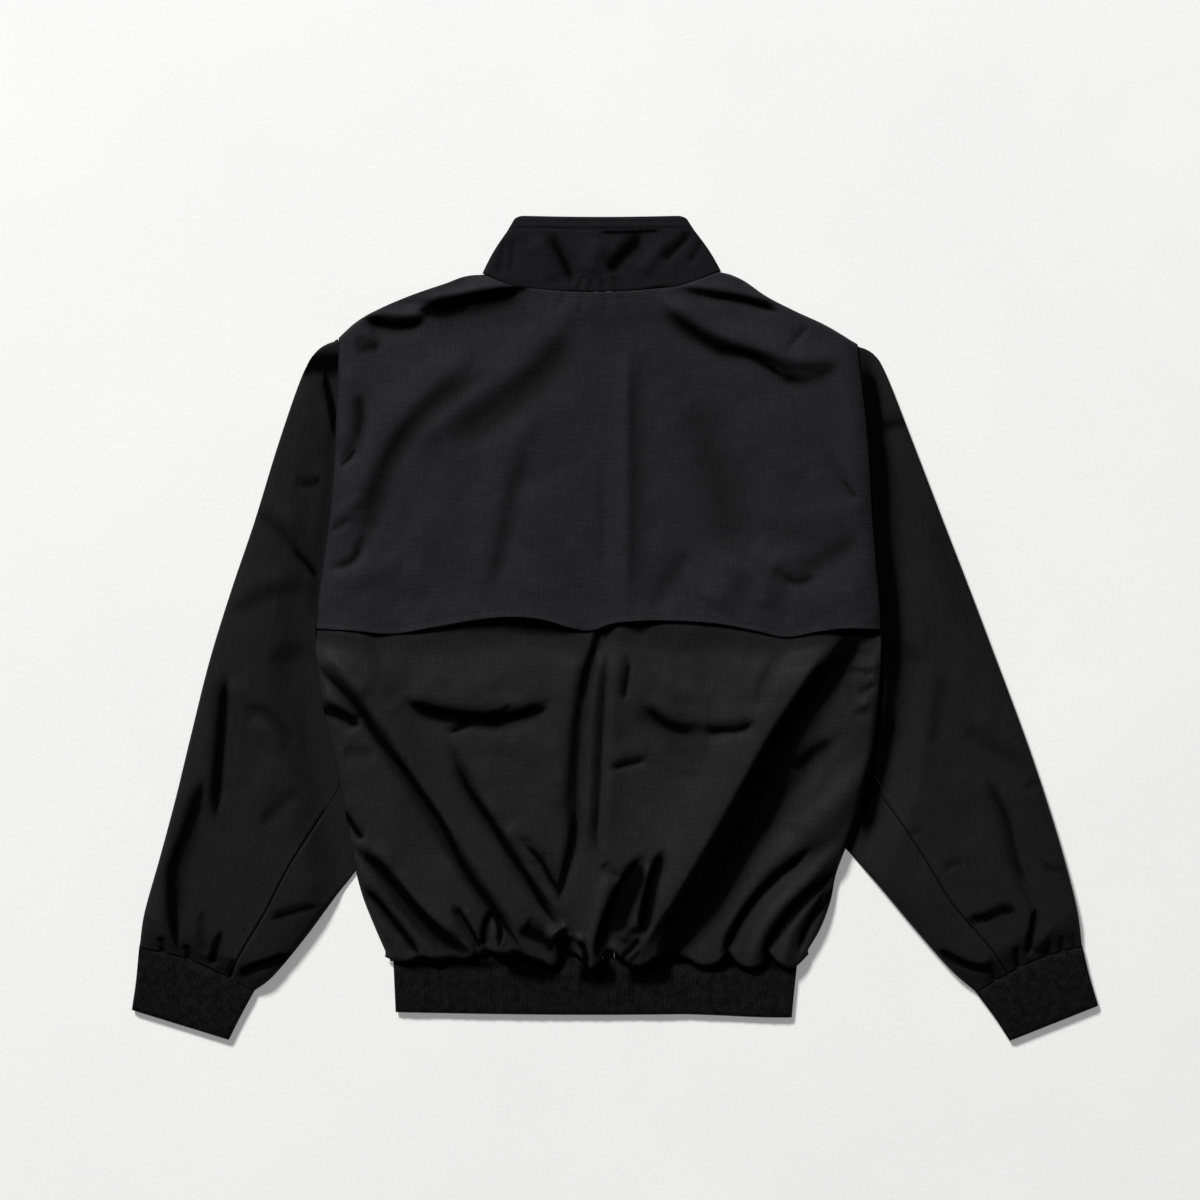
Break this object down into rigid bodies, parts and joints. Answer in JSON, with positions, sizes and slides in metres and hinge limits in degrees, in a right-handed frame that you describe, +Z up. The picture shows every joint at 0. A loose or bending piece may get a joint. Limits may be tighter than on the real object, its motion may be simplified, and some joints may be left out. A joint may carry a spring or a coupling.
{
  "type": "harrington jacket",
  "caption": "Waist-length harrington jacket with a stand collar, scalloped back yoke and ribbed knit cuffs and hem, laid flat with its back up as a garment to set out or show.",
  "frame": {"origin": "middle of the jacket's footprint, on the surface it lies on", "axes": "+Z up from the surface through the back, +Y from the hem to the collar, +X towards the wearer's right sleeve"},
  "size_m": [0.907, 0.773, 0.0246],
  "materials": {
    "shell": "black cotton blend twill, matt with a soft sheen",
    "knit": "black ribbed knit, matt",
    "zip_tape": "black woven tape, matt",
    "zip_teeth": "dark nickel plated, satin"
  },
  "bodies": {
    "root": {"back_panel": "shell", "back_yoke": "shell", "front_left": "shell", "front_right": "shell", "sleeve_left_upper": "shell", "sleeve_left_under": "shell", "sleeve_right_upper": "shell", "sleeve_right_under": "shell", "cuff_left": "knit", "cuff_right": "knit", "hem_band": "knit", "collar": "shell", "zip_tape_left": "zip_tape", "zip_tape_right": "zip_tape", "zip_teeth": "zip_teeth", "zip_slider": "zip_teeth"}
  },
  "joints": []
}
